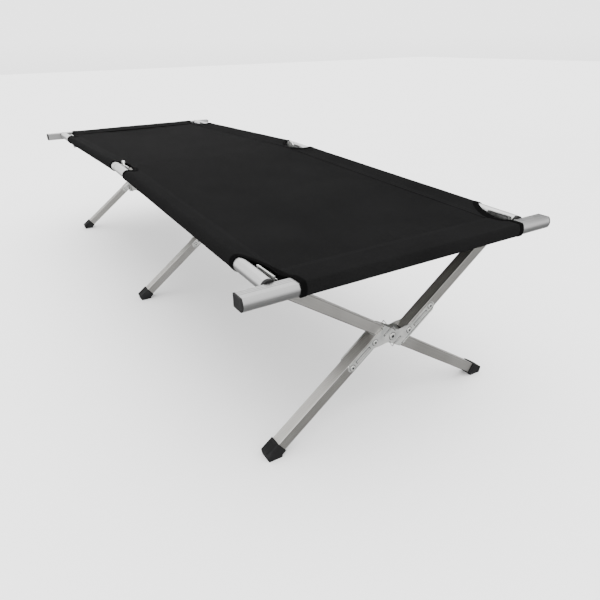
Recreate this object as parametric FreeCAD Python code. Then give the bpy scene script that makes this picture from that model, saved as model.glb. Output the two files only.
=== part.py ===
"""Folding camp cot: two arched rails that fold in half, three scissor leg sets, two end bars, a cover.

Frame: X across the cot, Y along it, Z up. The origin is on the floor below the middle of the cot.
The pair of leg bars is called straight and split; the split bar is two halves held by two Z plates.
"""
import FreeCAD, Part
import math
import os

V = FreeCAD.Vector

# ---- driving dimensions, in millimetres and degrees ----
RAIL_X = 299.0              # from the middle of the cot to the axis of each rail
RAIL_R = 13.0
RAIL_WALL = 1.5
RAIL_MID_Z = 406.6          # rail axis where its two halves meet
RAIL_END_Z = 381.4          # rail axis where the end plug starts
RAIL_END_Y = 911.0
RAIL_GAP = 0.8              # between the two halves of a rail

BAR_BACK_Y = 919.0          # inner face of an end bar
BAR_DEPTH = 31.0
BAR_SHOULDER = 0.84         # share of the depth where the D's curve starts
BAR_HEIGHT = 24.2
BAR_LENGTH = 727.0
BAR_DROP = 4.0              # end bar axis below the rail's end
BAR_WALL = 2.0
CAP_THICK = 3.5
BAR_PIN_R = 5.0
BAR_PIN_REACH = 14.0        # how far a pin goes into the bar
BAR_PIN_STUB = -2.0         # the same for a right-hand pin, which ends inside its plug
BAR_PIN_ROOT = 18.0         # length of a pin inside the rail's end
BAR_PIN_CHAMFER = 1.5
PLUG_FLANGE = 7.0
PLUG_INSERT = 25.0
PRESS_FIT = 0.1
BAR_GROOVES = (3.5, 8.5, 13.5)     # lengthwise grooves on top, from the bar's inner face
BAR_GROOVE_WIDTH = 1.0
BAR_GROOVE_DEPTH = 0.5
CAP_TONGUE = 12.0
CAP_ROUND = 1.2

PLATE_STEEL = 3.0
MOUNT_HALF_LENGTH = {"front": 30.0, "middle": 20.0, "rear": 30.0}
MOUNT_ABOVE = 12.0          # top of a mount plate above the rail's axis
MOUNT_BELOW = 11.0
LUG_HALF = 13.0
LUG_SHOULDER = 6.0
STUD_R = 4.0
STUD_HEAD_R = 6.5
STUD_HEAD = 1.8
STUD_PEEN = 1.6
EMBOSS_HEIGHT = 8.0
EMBOSS_PROUD = 1.2
EMBOSS_RISE = 5.5           # embossed pill above the rail's axis
EMBOSS_END = 7.0
RAIL_RIVET_DROP = 4.0
RAIL_RIVET_END = 6.0
RAIL_RIVET_HEAD = 1.6
RAIL_RIVET_HEAD_R = 3.4
RAIL_RIVET_R = 1.8

HINGE_NEAR = 1.2            # a hinge leaf starts and ends this far from the middle
HINGE_FAR = 19.0
HINGE_BELOW = 9.0
HINGE_ABOVE = 6.0
HINGE_NECK = 4.5
HINGE_SPACER = 7.0
HINGE_PIN_R = 2.5
HINGE_EYE_R = 5.0
HINGE_HEAD_R = 4.0
HINGE_CROWN = 2.0           # square shoulder of a leaf above the pin's axis
HINGE_HEAD = 1.5
HINGE_RIVET_Y = 11.0
HINGE_RIVET_R = 3.2
HINGE_RIVET_DROP = 1.5
LEAF_GAP = 0.2

FORK_HALF = 11.0            # half height of a swivel's base
CHEEK_HALF = 9.0
CHEEK_THICK = 2.5
CHEEK_GAP = 0.3
LEG_PIN_R = 3.0
LEG_PIN_HEAD_R = 5.5
LEG_SET_Y = {"front": -880.0, "middle": -41.0, "rear": 798.0}
LEG_WIDTH = 23.0            # across the bar, in the plane of the leg set
LEG_DEPTH = 25.0            # along the cot
LEG_WALL = 1.8
LEG_EDGE_ROUND = 1.2
RIB_GROOVES = (-7.5, -4.5, -1.5, 1.5, 4.5, 7.5)
RIB_GROOVE_HALF = 0.7
RIB_GROOVE_DEPTH = 0.5
STRAIGHT_SLACK = 0.4        # the straight bar is this much thinner, to fold between the Z plates
TOP_BEYOND_PIN = 9.0
TOP_CORNER_R = 13.0
TUBE_SHORT_OF_FLOOR = 26.0  # a bar's tube ends inside its boot
LEG_TOP_Z = 358.0           # height of the pins at the leg tops
PIVOT_X = -9.0              # crossing pivot of a leg set
PIVOT_Z = 189.0
STRAIGHT_ANGLE = 33.5       # slope of the straight bar
SPLIT_ANGLE = 37.2          # slope of the two halves of the split bar
SPLIT_OFFSET = 26.0         # each half's axis from the crossing pivot
SPLIT_START = 29.0          # where a half starts, along its axis from the pivot
PLATE_THICK = 1.6
PIVOT_R = 4.0
PIVOT_HEAD_R = 7.5
LEG_RIVET_R = 3.0
LEG_RIVET_HEAD_R = 6.0
LEG_RIVET_ALONG = (36.0, 104.0)
HEAD_PROUD = 1.8            # pin and rivet heads across a leg set
HEAD_ROUND = 0.9
HEAD_HOLLOW = 0.6           # share of the shank
ARM_EDGE_IN = 18.5
ARM_EDGE_OUT = 37.5
ARM_END = 105.0
ARM_TIP_DROP = 2.0
LIP_START = 8.0
LIP_HEIGHT = 2.2
LIP_THICK = 1.4
# inner edge of a Z plate, from its middle to its arm: along and across the split bar
PLATE_STEP = [(0, ARM_EDGE_OUT), (2, 34), (7, 22), (12.7, 6.7),
              (18, 0), (34, -9), (45, -17), (54, -ARM_EDGE_IN)]
# raised ribs: from and to along the bar, from and to across it
PLATE_RIBS = [(52.0, 90.0, -30.0, -26.0), (-14.0, 12.0, -20.0, -18.6), (-14.0, -12.6, -20.0, -6.0)]

BOOT_WALL = 2.0
BOOT_RIM = 37.0             # rim to the point where the bar's axis meets the floor
BOOT_TOE = 4.0
BOOT_TOE_SLANT = 3.0
BOOT_HEEL = 29.0
BOOT_FIT = 0.05
BOOT_ROUND = 1.0
BOOT_GROOVES = (-7.5, -2.5, 2.5, 7.5)
BOOT_GROOVE_HALF = 0.8
BOOT_GROOVE_DEPTH = 0.7
BOOT_GROOVE_START = 4.0

COVER_THICK = 1.2
COVER_CLEAR = 0.3
PANEL_RISE = 1.4            # underside of the cover's panel above the rail's axis
PANEL_GAP = 0.2             # between the panel and a sleeve's tube, and beside the fold line
PANEL_END_Y = 905.0
NOTCH_Y = -31.0             # the middle notches are centred between the middle leg set and the hinge
NOTCH_DEPTH = 33.0
NOTCH_HALF = 68.0
SLEEVE_END_Y = {"front": 808.0, "rear": 745.0}    # where a side sleeve stops short of the corner
CORNER_RUN = {"front": 77.0, "rear": 55.0}        # length of the curved cut at a corner
CORNER_X = 268.0            # the cover's end is this wide, each side of the middle
CORNER_BEND = 0.8
FLAP_Y = 872.0              # the end sleeve's flap is sewn on the panel this far out
FLAP_INSET = 1.0
END_SLEEVE_LEFT = 259.0     # the end sleeves are sewn a little off the middle
END_SLEEVE_RIGHT = 276.0
CURVE_STEPS = 12
RUNNING = 0.08              # radial clearance of a pin that turns
LOOSE = 0.5                 # radial clearance of the pins where the linkage is left open

# ---- sizes that follow from them ----
RAIL_SLOPE = math.degrees(math.atan2(RAIL_MID_Z - RAIL_END_Z, RAIL_END_Y))
RAIL_LENGTH = math.hypot(RAIL_END_Y, RAIL_MID_Z - RAIL_END_Z)
LEG_TOP_X = (LEG_TOP_Z - PIVOT_Z) / math.tan(math.radians(STRAIGHT_ANGLE))
LEG_TOP_LENGTH = math.hypot(LEG_TOP_X, LEG_TOP_Z - PIVOT_Z)
INNER_SIDE = RAIL_X - RAIL_R                      # inner side of a rail, where the plates are fixed
SWIVEL_BASE_X = INNER_SIDE - PLATE_STEEL - CHEEK_GAP    # outer face of a swivel, against its mount plate
HINGE_PIN_Z = RAIL_MID_Z + RAIL_R + COVER_CLEAR + COVER_THICK + COVER_CLEAR
COVER_R = RAIL_R + COVER_CLEAR

TOUCH = 0.01                # closer than this, two places are the same
BEYOND = 2.0                # a cutting tool reaches this far past the face it cuts

SIDES = {"left": -1, "right": 1}
HALVES = {"front": -1, "rear": 1}


# ---- small helpers ----
def export(name, *solids):
    """One STEP file per node; a node of several loose solids is a compound."""
    shape = solids[0] if len(solids) == 1 else Part.makeCompound(list(solids))
    shape.exportStep(f"parts/{name}.step")


def cylinder(radius, start, end):
    axis = V(*end) - V(*start)
    return Part.makeCylinder(radius, axis.Length, V(*start), axis)


def box(low, high):
    size = V(*high) - V(*low)
    return Part.makeBox(size.x, size.y, size.z, V(*low))


def cut_all(shape, tools):
    for tool in tools:
        shape = shape.cut(tool)
    return shape


def prism(points, depth_low, depth_high):
    """A closed outline in the XZ plane, made solid from one Y to another."""
    corners = [V(x, depth_low, z) for x, z in points]
    face = Part.Face(Part.makePolygon(corners + corners[:1]))
    return face.extrude(V(0, depth_high - depth_low, 0))


def along_rail(shape, half):
    """Lays a shape built level at the middle joint's height along the slope of a rail half."""
    return shape.rotated(V(0, 0, RAIL_MID_Z), V(1, 0, 0), -HALVES[half] * RAIL_SLOPE)


def rail_z(y):
    return RAIL_MID_Z - abs(y) * (RAIL_MID_Z - RAIL_END_Z) / RAIL_END_Y


def rail_half_of(y):
    return "front" if y < 0 else "rear"


# ---- rail halves, end plugs, middle hinges ----
def rivet_x(side, y, z, outer_x, head_r=RAIL_RIVET_HEAD_R):
    """A rivet along X whose head lies on an inner face at outer_x; its shank reaches the rail's wall."""
    s = SIDES[side]
    head = cylinder(head_r, (s * outer_x, y, z), (s * (outer_x - RAIL_RIVET_HEAD), y, z))
    shank = cylinder(RAIL_RIVET_R, (s * outer_x, y, z), (s * (INNER_SIDE + RAIL_WALL), y, z))
    return head.fuse(shank).removeSplitter()


def rail(side, half, fasteners):
    x = SIDES[side] * RAIL_X
    y0 = HALVES[half] * RAIL_GAP / 2
    y1 = HALVES[half] * RAIL_LENGTH
    tube = cylinder(RAIL_R, (x, y0, RAIL_MID_Z), (x, y1, RAIL_MID_Z))
    bore = cylinder(RAIL_R - RAIL_WALL, (x, y0, RAIL_MID_Z), (x, y1, RAIL_MID_Z))
    return cut_all(along_rail(tube.cut(bore), half), fasteners)


def end_plug(side, half):
    """A moulded plug in the rail's end, with the steel pin that the end bar hangs on.

    The right-hand pins end inside their plugs, because the frame is left open there.
    """
    x = SIDES[side] * RAIL_X
    h = HALVES[half]
    end = (x, h * RAIL_LENGTH, RAIL_MID_Z)
    flange = cylinder(RAIL_R, end, (x, h * (RAIL_LENGTH + PLUG_FLANGE), RAIL_MID_Z))
    insert = cylinder(RAIL_R - RAIL_WALL - PRESS_FIT, (x, h * (RAIL_LENGTH - PLUG_INSERT), RAIL_MID_Z), end)
    plug = along_rail(flange.fuse(insert).removeSplitter(), half)
    tip = BAR_BACK_Y + (BAR_PIN_REACH if side == "left" else BAR_PIN_STUB)
    pin = cylinder(BAR_PIN_R, (x, h * (RAIL_END_Y - BAR_PIN_ROOT), RAIL_END_Z), (x, h * tip, RAIL_END_Z))
    tip_edges = [e for e in pin.Edges if abs(e.CenterOfMass.y) > tip - TOUCH and e.Closed]
    return plug.cut(pin), pin.makeChamfer(BAR_PIN_CHAMFER, tip_edges)


def hinge_leaf(side, half):
    """An eye plate on the rail's inner side; the front and rear eyes lap on the hinge pin."""
    s = SIDES[side]
    h = HALVES[half]
    low, high = RAIL_MID_Z - HINGE_BELOW, RAIL_MID_Z + HINGE_ABOVE
    lap = 0.0 if half == "front" else PLATE_STEEL + LEAF_GAP
    outer = s * (INNER_SIDE - lap)
    inner = s * (INNER_SIDE - lap - PLATE_STEEL)
    crown = HINGE_PIN_Z + HINGE_CROWN
    outline = [(h * HINGE_NEAR, low), (h * HINGE_FAR, low), (h * HINGE_FAR, high), (h * HINGE_NECK, crown),
               (0, crown), (0, HINGE_PIN_Z - HINGE_HEAD_R), (h * HINGE_NEAR, high)]
    corners = [V(outer, y, z) for y, z in outline]
    plate = Part.Face(Part.makePolygon(corners + corners[:1])).extrude(V(inner - outer, 0, 0))
    leaf = plate.fuse(cylinder(HINGE_EYE_R, (outer, 0, HINGE_PIN_Z), (inner, 0, HINGE_PIN_Z)))
    if half == "rear":
        spacer = sorted((s * INNER_SIDE, outer))
        leaf = leaf.fuse(box((spacer[0], HINGE_SPACER, low), (spacer[1], HINGE_FAR, high)))
    hole = cylinder(HINGE_PIN_R + RUNNING, (outer + s * BEYOND, 0, HINGE_PIN_Z),
                    (inner - s * BEYOND, 0, HINGE_PIN_Z))
    rivet = rivet_x(side, h * HINGE_RIVET_Y, RAIL_MID_Z - HINGE_RIVET_DROP, s * inner, HINGE_RIVET_R)
    return leaf.cut(hole).removeSplitter().cut(rivet), [rivet]


def hinge_pin(side):
    s = SIDES[side]
    inner = INNER_SIDE - 2 * PLATE_STEEL - LEAF_GAP
    ends = (INNER_SIDE + PRESS_FIT, HINGE_HEAD), (inner - PRESS_FIT, -HINGE_HEAD)
    shank = cylinder(HINGE_PIN_R, (s * ends[0][0], 0, HINGE_PIN_Z), (s * ends[1][0], 0, HINGE_PIN_Z))
    for x, head in ends:
        rim = cylinder(HINGE_HEAD_R, (s * x, 0, HINGE_PIN_Z), (s * (x + head), 0, HINGE_PIN_Z))
        shank = shank.fuse(rim)
    return shank.removeSplitter()


# ---- mount plates and swivels that hold the leg tops ----
def pill(length, height, y, z, x_from, x_to):
    """A round-ended bar along Y, standing out along X."""
    half = (length - height) / 2
    body = box((min(x_from, x_to), y - half, z - height / 2), (max(x_from, x_to), y + half, z + height / 2))
    ends = [cylinder(height / 2, (x_from, y + e, z), (x_to, y + e, z)) for e in (-half, half)]
    return body.fuse(ends[0]).fuse(ends[1]).removeSplitter()


def mount_plate(side, place):
    """A pressed steel plate on the rail's inner side, with a lug below for the swivel's stud."""
    s = SIDES[side]
    y = LEG_SET_Y[place]
    half_length = MOUNT_HALF_LENGTH[place]
    top = rail_z(y) + MOUNT_ABOVE
    shoulder = rail_z(y) - MOUNT_BELOW
    inner_x = INNER_SIDE - PLATE_STEEL
    outline = [(y - half_length, shoulder), (y - half_length, top), (y + half_length, top),
               (y + half_length, shoulder), (y + LUG_HALF, shoulder - LUG_SHOULDER), (y + LUG_HALF, LEG_TOP_Z),
               (y - LUG_HALF, LEG_TOP_Z), (y - LUG_HALF, shoulder - LUG_SHOULDER)]
    corners = [V(s * INNER_SIDE, a, b) for a, b in outline]
    plate = Part.Face(Part.makePolygon(corners + corners[:1])).extrude(V(-s * PLATE_STEEL, 0, 0))
    plate = plate.fuse(cylinder(LUG_HALF, (s * INNER_SIDE, y, LEG_TOP_Z), (s * inner_x, y, LEG_TOP_Z)))
    boss = pill(2 * (half_length - EMBOSS_END), EMBOSS_HEIGHT, y, rail_z(y) + EMBOSS_RISE,
                s * inner_x, s * (inner_x - EMBOSS_PROUD))
    rivets = [rivet_x(side, y + e, rail_z(y + e) - RAIL_RIVET_DROP, inner_x)
              for e in (RAIL_RIVET_END - half_length, half_length - RAIL_RIVET_END)]
    stud_end = SWIVEL_BASE_X - PLATE_STEEL - LEAF_GAP
    stud = cylinder(STUD_R, (s * INNER_SIDE, y, LEG_TOP_Z), (s * stud_end, y, LEG_TOP_Z))
    for start, end in ((INNER_SIDE, INNER_SIDE + STUD_HEAD), (stud_end, stud_end - STUD_PEEN)):
        stud = stud.fuse(cylinder(STUD_HEAD_R, (s * start, y, LEG_TOP_Z), (s * end, y, LEG_TOP_Z)))
    stud = stud.removeSplitter()
    plate = cut_all(plate.fuse(boss).removeSplitter(), rivets + [stud])
    return plate, rivets, stud


def leg_top_x(side):
    return PIVOT_X + SIDES[side] * LEG_TOP_X


def swivel(side, place):
    """A bent steel fork: it turns on its stud along the cot and holds a leg top between two cheeks."""
    s = SIDES[side]
    y = LEG_SET_Y[place]
    cheek_in = LEG_DEPTH / 2 + CHEEK_GAP
    cheek_out = cheek_in + CHEEK_THICK
    pin_x = leg_top_x(side)
    base_out = s * SWIVEL_BASE_X
    base_in = s * (SWIVEL_BASE_X - PLATE_STEEL)
    fork = box((min(base_out, base_in), y - cheek_out, LEG_TOP_Z - FORK_HALF),
               (max(base_out, base_in), y + cheek_out, LEG_TOP_Z + FORK_HALF))
    pin = cylinder(LEG_PIN_R, (pin_x, y - cheek_out, LEG_TOP_Z), (pin_x, y + cheek_out, LEG_TOP_Z))
    for e in (-1, 1):
        low, high = sorted((y + e * cheek_in, y + e * cheek_out))
        cheek = box((min(base_out, pin_x), low, LEG_TOP_Z - CHEEK_HALF),
                    (max(base_out, pin_x), high, LEG_TOP_Z + CHEEK_HALF))
        fork = fork.fuse(cheek.fuse(cylinder(CHEEK_HALF, (pin_x, low, LEG_TOP_Z), (pin_x, high, LEG_TOP_Z))))
        face = y + e * cheek_out
        head = cylinder(LEG_PIN_HEAD_R, (pin_x, face, LEG_TOP_Z), (pin_x, face + e * HEAD_PROUD, LEG_TOP_Z))
        pin = pin.fuse(head)
    hole = cylinder(STUD_R + RUNNING, (base_out + s * BEYOND, y, LEG_TOP_Z),
                    (base_in - s * BEYOND, y, LEG_TOP_Z))
    pin = pin.removeSplitter()
    return fork.removeSplitter().cut(hole).cut(pin), pin


# ---- leg bars ----
def ribbed_tube(start, end, depth):
    """A rectangular tube along X with fine lengthwise grooves on all four faces."""
    half_w = LEG_WIDTH / 2
    half_d = depth / 2
    body = box((start, -half_d, -half_w), (end, half_d, half_w))
    along = [e for e in body.Edges if abs(e.BoundBox.XLength - (end - start)) < TOUCH]
    body = body.makeFillet(LEG_EDGE_ROUND, along)
    tools = [box((start, LEG_WALL - half_d, LEG_WALL - half_w), (end, half_d - LEG_WALL, half_w - LEG_WALL))]
    for step in RIB_GROOVES:
        near, far = step - RIB_GROOVE_HALF, step + RIB_GROOVE_HALF
        for s in (-1, 1):
            low, high = sorted((s * (half_w - RIB_GROOVE_DEPTH), s * (half_w + BEYOND)))
            tools.append(box((start, near, low), (end, far, high)))
            low, high = sorted((s * (half_d - RIB_GROOVE_DEPTH), s * (half_d + BEYOND)))
            tools.append(box((start, low, near), (end, high, far)))
    return body.cut(Part.makeCompound(tools))


def place_in_set(shape, angle, place):
    """Turns a shape built along X about the crossing pivot, and moves it to its leg set."""
    shape = shape.rotated(V(0, 0, 0), V(0, 1, 0), angle)
    return shape.translated(V(PIVOT_X, LEG_SET_Y[place], PIVOT_Z))


def point_in_set(along, across, angle):
    """The same turn for a point, without the leg set's Y."""
    a = math.radians(angle)
    x = PIVOT_X + along * math.cos(a) + across * math.sin(a)
    z = PIVOT_Z - along * math.sin(a) + across * math.cos(a)
    return x, z


def floor_reach(angle, across):
    """Length along a bar from the pivot to where its axis meets the floor."""
    a = math.radians(angle)
    return (PIVOT_Z + across * math.cos(a)) / math.sin(a)


def y_hole(radius, x, z):
    """A tool for a hole across a whole leg bar or Z plate."""
    return cylinder(radius, (x, -LEG_DEPTH, z), (x, LEG_DEPTH, z))


def straight_bar(place):
    depth = LEG_DEPTH - STRAIGHT_SLACK
    foot = floor_reach(STRAIGHT_ANGLE, 0) - TUBE_SHORT_OF_FLOOR
    tube = ribbed_tube(-LEG_TOP_LENGTH - LEG_WIDTH / 2, foot, depth)
    keep = box((-LEG_TOP_LENGTH, -depth, -LEG_WIDTH), (foot, depth, LEG_WIDTH))
    keep = keep.fuse(cylinder(LEG_WIDTH / 2, (-LEG_TOP_LENGTH, -depth, 0), (-LEG_TOP_LENGTH, depth, 0)))
    tube = tube.common(keep)
    tube = tube.cut(y_hole(LEG_PIN_R + RUNNING, -LEG_TOP_LENGTH, 0)).cut(y_hole(PIVOT_R + RUNNING, 0, 0))
    return place_in_set(tube, STRAIGHT_ANGLE, place)


def split_top():
    """The leg-top pin, seen from the pivot along and across the split bar."""
    a = math.radians(SPLIT_ANGLE)
    dx, dz = LEG_TOP_X, LEG_TOP_Z - PIVOT_Z
    return dx * math.cos(a) + dz * math.sin(a), dz * math.cos(a) - dx * math.sin(a)


def upper_half(place):
    along, across = split_top()
    end = along + TOP_BEYOND_PIN
    tube = ribbed_tube(SPLIT_START, end, LEG_DEPTH).translated(V(0, 0, -SPLIT_OFFSET))
    corner = y_hole(TOP_CORNER_R, end, -SPLIT_OFFSET - LEG_WIDTH / 2)
    clearance = LOOSE if place != "middle" else RUNNING
    tube = tube.cut(corner).cut(y_hole(LEG_PIN_R + clearance, along, across))
    return place_in_set(cut_all(tube, plate_rivet_holes(1)), -SPLIT_ANGLE, place)


def lower_half(place):
    foot = floor_reach(SPLIT_ANGLE, SPLIT_OFFSET) - TUBE_SHORT_OF_FLOOR
    tube = ribbed_tube(-foot, -SPLIT_START, LEG_DEPTH).translated(V(0, 0, SPLIT_OFFSET))
    return place_in_set(cut_all(tube, plate_rivet_holes(-1)), -SPLIT_ANGLE, place)


# ---- Z plates and their rivets ----
def plate_rivet_holes(half):
    return [y_hole(LEG_RIVET_R, half * a, -half * SPLIT_OFFSET) for a in LEG_RIVET_ALONG]


def block_between(start, end):
    """A box between two opposite corners given in any order."""
    return box([min(pair) for pair in zip(start, end)], [max(pair) for pair in zip(start, end)])


def z_plate(front):
    """One pressed plate. Its outline is the same after half a turn about the pivot."""
    edges = []
    for s in (1, -1):
        corners = [V(s * u, 0, s * n) for u, n in PLATE_STEP] + [V(s * ARM_END, 0, -s * ARM_EDGE_IN)]
        reach = ARM_END + (ARM_EDGE_OUT - ARM_EDGE_IN) / 2
        tip = V(s * reach, 0, -s * (SPLIT_OFFSET + ARM_TIP_DROP))
        last = V(s * ARM_END, 0, -s * ARM_EDGE_OUT)
        edges += [Part.makeLine(a, b) for a, b in zip(corners, corners[1:])]
        edges.append(Part.Arc(corners[-1], tip, last).toShape())
        edges.append(Part.makeLine(last, V(0, 0, -s * ARM_EDGE_OUT)))
    side = -1 if front else 1
    inner = side * LEG_DEPTH / 2
    outer = inner + side * PLATE_THICK
    face = Part.Face(Part.Wire(Part.__sortEdges__(edges)))
    plate = face.extrude(V(0, side * PLATE_THICK, 0)).translated(V(0, inner, 0))
    for s in (1, -1):
        for u0, u1, n0, n1 in PLATE_RIBS:
            plate = plate.fuse(block_between((s * u0, outer, s * n0), (s * u1, outer + side, s * n1)))
        lip_end = (s * ARM_END, outer + side * LIP_HEIGHT, s * (LIP_THICK - ARM_EDGE_OUT))
        plate = plate.fuse(block_between((s * LIP_START, outer, -s * ARM_EDGE_OUT), lip_end))
    holes = plate_rivet_holes(1) + plate_rivet_holes(-1) + [y_hole(PIVOT_R, 0, 0)]
    return cut_all(plate.removeSplitter(), holes)


def rivet_y(x, z, shank_r, head_r):
    """A tubular rivet through both plates, with a hollow in each head."""
    reach = LEG_DEPTH / 2 + PLATE_THICK
    rivet = cylinder(shank_r, (x, -reach, z), (x, reach, z))
    hollows = []
    for s in (-1, 1):
        top = reach + HEAD_PROUD
        head = cylinder(head_r, (x, s * reach, z), (x, s * top, z))
        rim = [e for e in head.Edges if e.Closed and abs(e.CenterOfMass.y) > top - TOUCH]
        rivet = rivet.fuse(head.makeFillet(HEAD_ROUND, rim))
        floor = reach + LEAF_GAP
        hollows.append(cylinder(shank_r * HEAD_HOLLOW, (x, s * floor, z), (x, s * (top + BEYOND), z)))
    return cut_all(rivet, hollows).removeSplitter()


def leg_rivets(place):
    spots = [(s * a, -s * SPLIT_OFFSET) for s in (1, -1) for a in LEG_RIVET_ALONG]
    rivets = [rivet_y(x, z, LEG_RIVET_R, LEG_RIVET_HEAD_R) for x, z in spots]
    rivets.append(rivet_y(0, 0, PIVOT_R, PIVOT_HEAD_R))
    return [place_in_set(r, -SPLIT_ANGLE, place) for r in rivets]


# ---- foot boots ----
def boot(place, angle, across, outward):
    """A moulded boot over a bar's end, with a flat sole on the floor and grooves on its upper face."""
    a = math.radians(angle)
    foot_x = point_in_set(outward * floor_reach(angle, across), across, outward * angle)[0]
    down = V(outward * math.cos(a), 0, -math.sin(a))
    up = V(outward * math.sin(a), 0, math.cos(a))
    proud = LEG_WIDTH / 2 + BOOT_WALL
    rim = V(foot_x, 0, 0) - down * BOOT_RIM
    slant = proud / math.sin(a)
    toe = V(foot_x + outward * BOOT_TOE, 0, (slant - BOOT_TOE) * math.tan(a))
    heel = V(foot_x - outward * BOOT_HEEL, 0, (BOOT_HEEL - slant) * math.tan(a))
    sole = V(toe.x - outward * BOOT_TOE_SLANT, 0, 0), V(heel.x, 0, 0)
    outline = [rim + up * proud, toe, sole[0], sole[1], heel, rim - up * proud]
    half_depth = LEG_DEPTH / 2 + BOOT_WALL
    solid = prism([(p.x, p.z) for p in outline], -half_depth, half_depth)
    solid = solid.makeFillet(BOOT_ROUND, [e for e in solid.Edges if e.BoundBox.ZMax > BOOT_ROUND])
    turn = angle if outward > 0 else 180.0 - angle
    half_d, half_w = LEG_DEPTH / 2 + BOOT_FIT, LEG_WIDTH / 2 + BOOT_FIT
    cavity = box((-BOOT_RIM, -half_d, -half_w), (BOOT_RIM - TUBE_SHORT_OF_FLOOR, half_d, half_w))
    grooves = []
    for step in BOOT_GROOVES:
        groove = box((BOOT_GROOVE_START, step - BOOT_GROOVE_HALF, proud - BOOT_GROOVE_DEPTH),
                     (2 * BOOT_RIM, step + BOOT_GROOVE_HALF, proud + BEYOND))
        grooves.append(groove if outward > 0 else groove.mirror(V(0, 0, 0), V(0, 0, 1)))
    for tool in [cavity] + grooves:
        solid = solid.cut(tool.rotated(V(0, 0, 0), V(0, 1, 0), turn).translated(rim))
    return solid.translated(V(0, LEG_SET_Y[place], 0))


# ---- end bars and caps ----
def bar_section(half, x, inset):
    """The D-shaped section: flat back, top and bottom, and a bulging outer face."""
    h = HALVES[half]
    z = RAIL_END_Z - BAR_DROP
    top = BAR_HEIGHT / 2 - inset
    back = h * (BAR_BACK_Y + inset)
    shoulder = h * (BAR_BACK_Y + BAR_SHOULDER * BAR_DEPTH)
    nose = h * (BAR_BACK_Y + BAR_DEPTH - inset)
    a, b, c, d = V(x, back, z - top), V(x, back, z + top), V(x, shoulder, z + top), V(x, shoulder, z - top)
    curve = Part.Arc(c, V(x, nose, z), d).toShape()
    edges = [Part.makeLine(a, b), Part.makeLine(b, c), curve, Part.makeLine(d, a)]
    return Part.Face(Part.Wire(edges))


def end_bar(half):
    h = HALVES[half]
    x0 = -BAR_LENGTH / 2 + CAP_THICK
    run = V(-2 * x0, 0, 0)
    bar = bar_section(half, x0, 0).extrude(run).cut(bar_section(half, x0, BAR_WALL).extrude(run))
    top = RAIL_END_Z - BAR_DROP + BAR_HEIGHT / 2
    for step in BAR_GROOVES:
        near = BAR_BACK_Y + step - BAR_GROOVE_WIDTH / 2
        low, high = sorted((h * near, h * (near + BAR_GROOVE_WIDTH)))
        bar = bar.cut(box((x0, low, top - BAR_GROOVE_DEPTH), (-x0, high, top + BEYOND)))
    for s in (-1, 1):
        low, high = h * (BAR_BACK_Y - BEYOND), h * (BAR_BACK_Y + BAR_WALL + BEYOND)
        x = s * RAIL_X
        bar = bar.cut(cylinder(BAR_PIN_R + RUNNING, (x, low, RAIL_END_Z), (x, high, RAIL_END_Z)))
    return bar


def end_caps(half):
    caps = []
    for s in (-1, 1):
        inner = s * (BAR_LENGTH / 2 - CAP_THICK)
        cap = bar_section(half, inner, 0).extrude(V(s * CAP_THICK, 0, 0))
        flat = [e for e in cap.Edges if e.BoundBox.XLength < TOUCH]
        rim = [e for e in flat if abs(e.CenterOfMass.x) > abs(inner) + TOUCH]
        cap = cap.makeFillet(CAP_ROUND, rim)
        tongue = bar_section(half, inner, BAR_WALL + PRESS_FIT).extrude(V(-s * CAP_TONGUE, 0, 0))
        caps.append(cap.fuse(tongue).removeSplitter())
    return caps


# ---- cover ----
def flat_tool(points, base):
    """A closed outline in the XY plane, made into a tool that cuts through the cover's panel."""
    corners = [V(x, y, base - BEYOND) for x, y in points]
    return Part.Face(Part.makePolygon(corners + corners[:1])).extrude(V(0, 0, COVER_THICK + 2 * BEYOND))


def notch_outline(s):
    """A long round notch that clears the hinge and the middle leg set's mount plate."""
    turns = [math.pi * step / CURVE_STEPS for step in range(2 * CURVE_STEPS)]
    return [(s * (RAIL_X - NOTCH_DEPTH * math.sin(t)), NOTCH_Y + NOTCH_HALF * math.cos(t)) for t in turns]


def corner_outline(s, half):
    """The cut from the rail, inwards in a curve, and then straight along the cot to its end."""
    points = []
    for step in range(CURVE_STEPS + 1):
        t = step / CURVE_STEPS
        depth = (RAIL_X - CORNER_X) * math.sin(t * math.pi / 2) ** CORNER_BEND
        points.append((RAIL_X - depth, SLEEVE_END_Y[half] + CORNER_RUN[half] * t))
    points += [(CORNER_X, PANEL_END_Y + BEYOND), (RAIL_X, PANEL_END_Y + BEYOND)]
    return [(s * x, HALVES[half] * y) for x, y in points]


def cover_half(half):
    """A panel at the rails' axis height with cut-away corners and middle notches, and two side sleeves."""
    h = HALVES[half]
    low, high = sorted((h * PANEL_GAP, h * PANEL_END_Y))
    base = RAIL_MID_Z + PANEL_RISE
    reach = RAIL_X - COVER_R - COVER_THICK - PANEL_GAP
    panel = box((-reach, low, base), (reach, high, base + COVER_THICK))
    sleeves = []
    for s in (-1, 1):
        panel = panel.cut(flat_tool(notch_outline(s), base)).cut(flat_tool(corner_outline(s, half), base))
        start = NOTCH_Y + h * NOTCH_HALF
        ends = (s * RAIL_X, start, RAIL_MID_Z), (s * RAIL_X, h * SLEEVE_END_Y[half], RAIL_MID_Z)
        tube = cylinder(COVER_R + COVER_THICK, *ends).cut(cylinder(COVER_R, *ends))
        sleeves.append(along_rail(tube, half))
    return [along_rail(panel, half)] + sleeves


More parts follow.
